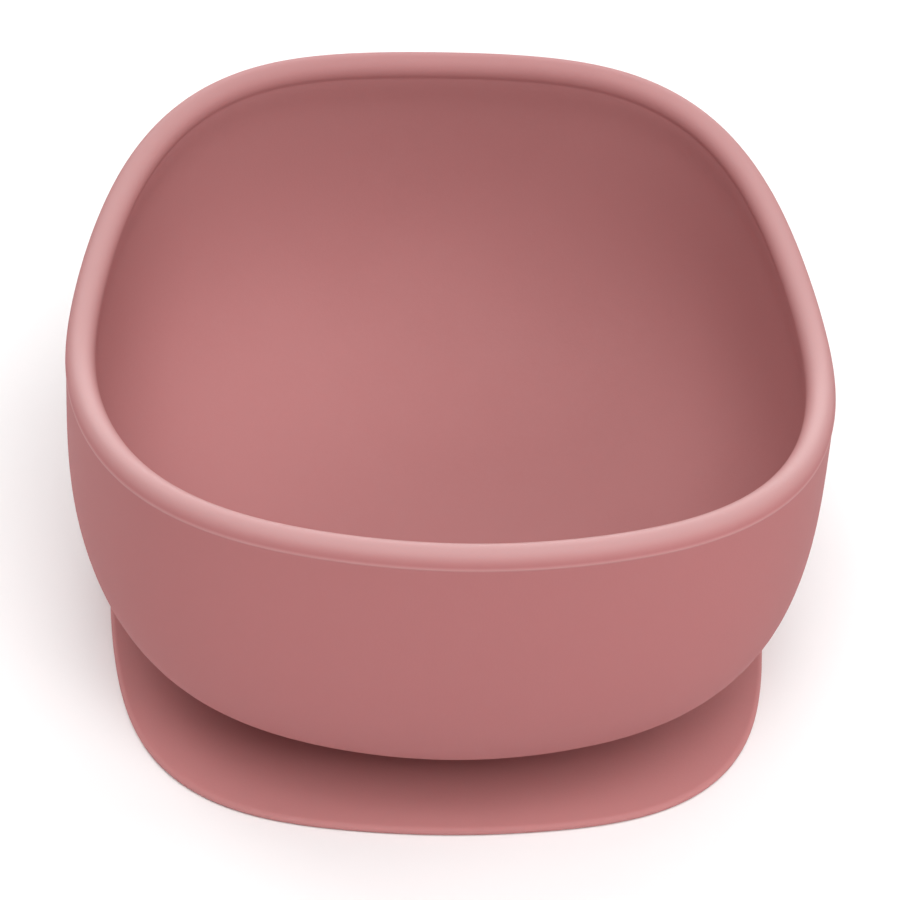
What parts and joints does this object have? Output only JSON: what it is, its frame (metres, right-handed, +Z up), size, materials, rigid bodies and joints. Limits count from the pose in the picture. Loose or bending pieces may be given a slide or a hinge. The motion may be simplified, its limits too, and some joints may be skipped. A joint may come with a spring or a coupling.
{
  "type": "suction bowl",
  "caption": "Deep rounded-square silicone baby bowl with a wavy beaded rim, on a wide suction base with a rear release tab.",
  "frame": {"origin": "centre of the suction base on the table plane, under the middle of the bowl", "axes": "+Z up out of the bowl's mouth, -Y towards the front of the bowl, +X to its right; the release tab is at +Y"},
  "size_m": [0.126, 0.129, 0.0705],
  "materials": {
    "bowl_silicone": "matte moulded silicone, dusty rose",
    "base_silicone": "matte moulded silicone, dusty rose",
    "bond_silicone": "cured silicone adhesive, slightly translucent"
  },
  "bodies": {
    "suction_cup": {"sealing_lip": "base_silicone", "suction_skirt": "base_silicone"},
    "bowl": {"bowl_shell": "bowl_silicone", "bond_film": "bond_silicone", "base_hub": "base_silicone"},
    "tab": {"release_tab": "base_silicone"}
  },
  "joints": [
    {"name": "press_down", "type": "slide", "parent": "suction_cup", "child": "bowl", "axis": [0, 0, -1], "range_m": [0, 0.0022], "stiffness_N_per_m": 10000, "springref_m": -0.0003, "deforming": ["suction_skirt"]},
    {"name": "tab_lift", "type": "hinge", "parent": "suction_cup", "child": "tab", "pos_m": [0, 0.05765, 0.0017], "axis": [1, 0, 0], "range_deg": [0, 60], "stiffness_Nm_per_rad": 0.002}
  ]
}
